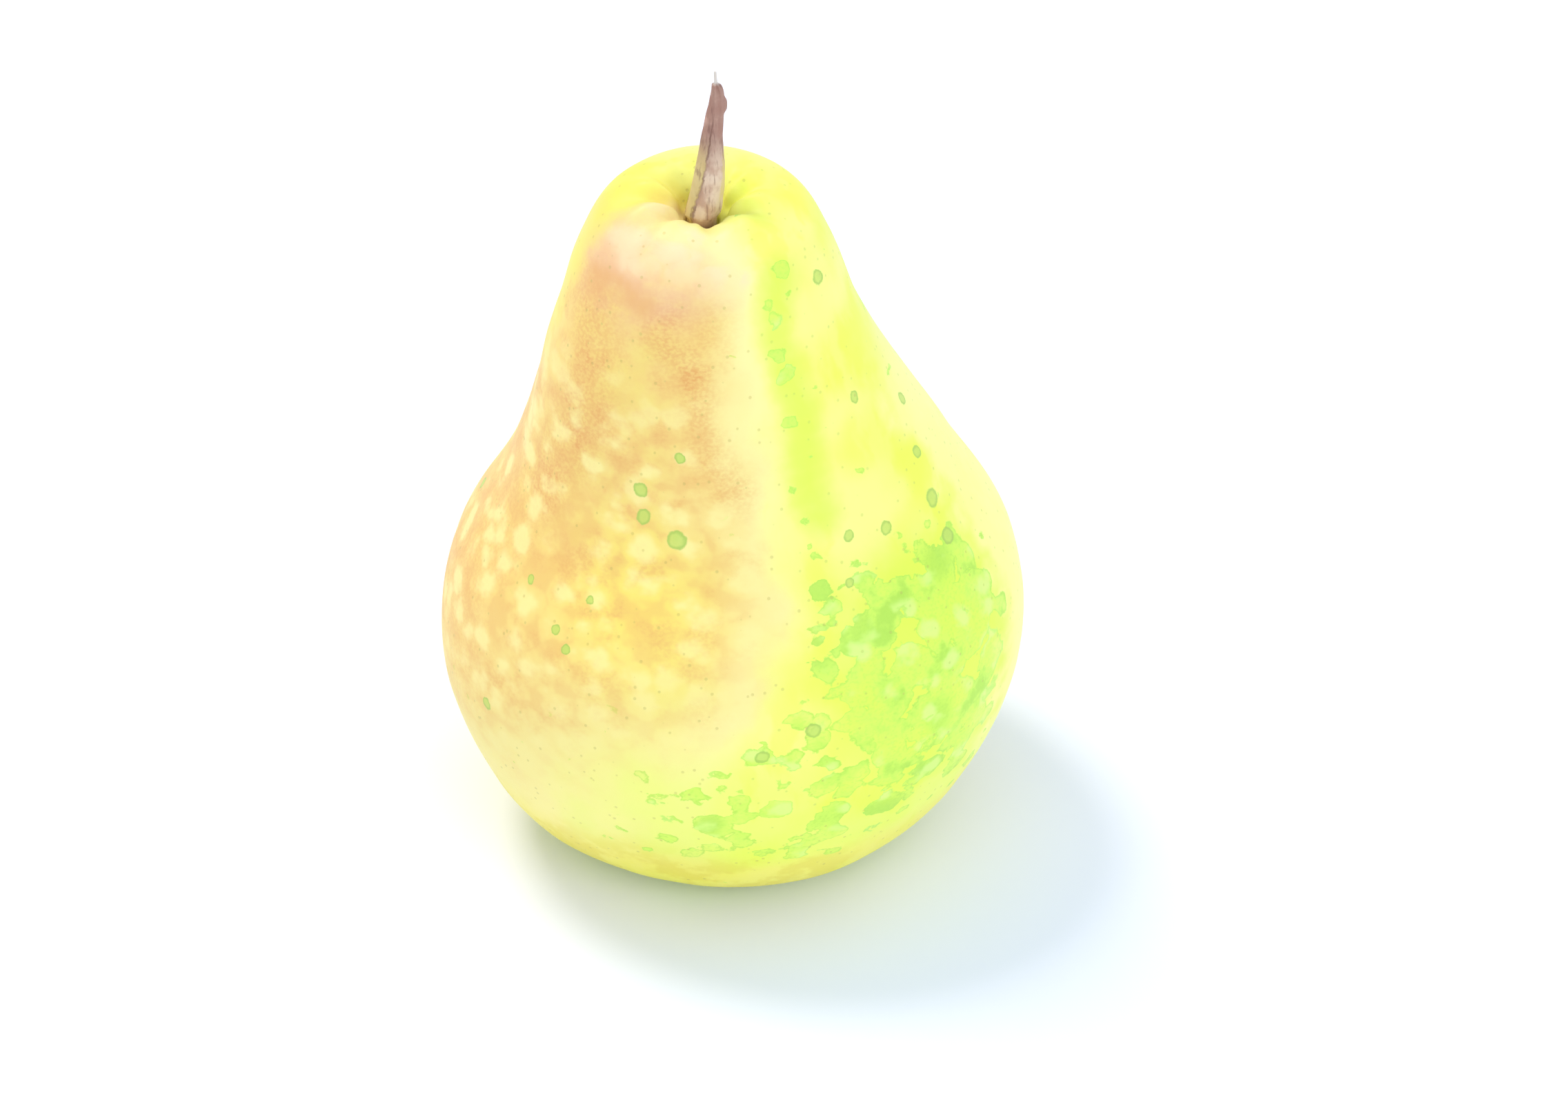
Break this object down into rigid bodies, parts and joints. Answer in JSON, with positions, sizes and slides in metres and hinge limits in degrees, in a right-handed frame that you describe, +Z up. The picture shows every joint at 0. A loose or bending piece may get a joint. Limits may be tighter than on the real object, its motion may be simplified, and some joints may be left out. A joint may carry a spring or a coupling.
{
  "type": "pear",
  "caption": "Whole ripe pear with a leaning neck, a woody stem in its top dimple and a dried calyx in its base; stands upright on a small flat ring.",
  "frame": {"origin": "on the surface that the pear stands on, below the middle of its bounding box", "axes": "+Z up along the fruit from blossom end to stem, -Y towards the side that the picture shows, +X to that view's right"},
  "size_m": [0.0722, 0.0714, 0.1062],
  "materials": {
    "skin": "waxy semi-matte fruit skin: lemon yellow with a warm tan blush with pale dapples on one side and mottled green on the other, fine lenticels",
    "stem_wood": "dry mauve-brown bark with fine lengthwise ridges, paler towards its foot, torn pale tip",
    "dried_calyx": "matt, withered dark brown sepals"
  },
  "bodies": {
    "root": {"fruit": "skin", "stem": "stem_wood", "calyx": "dried_calyx"}
  },
  "joints": []
}
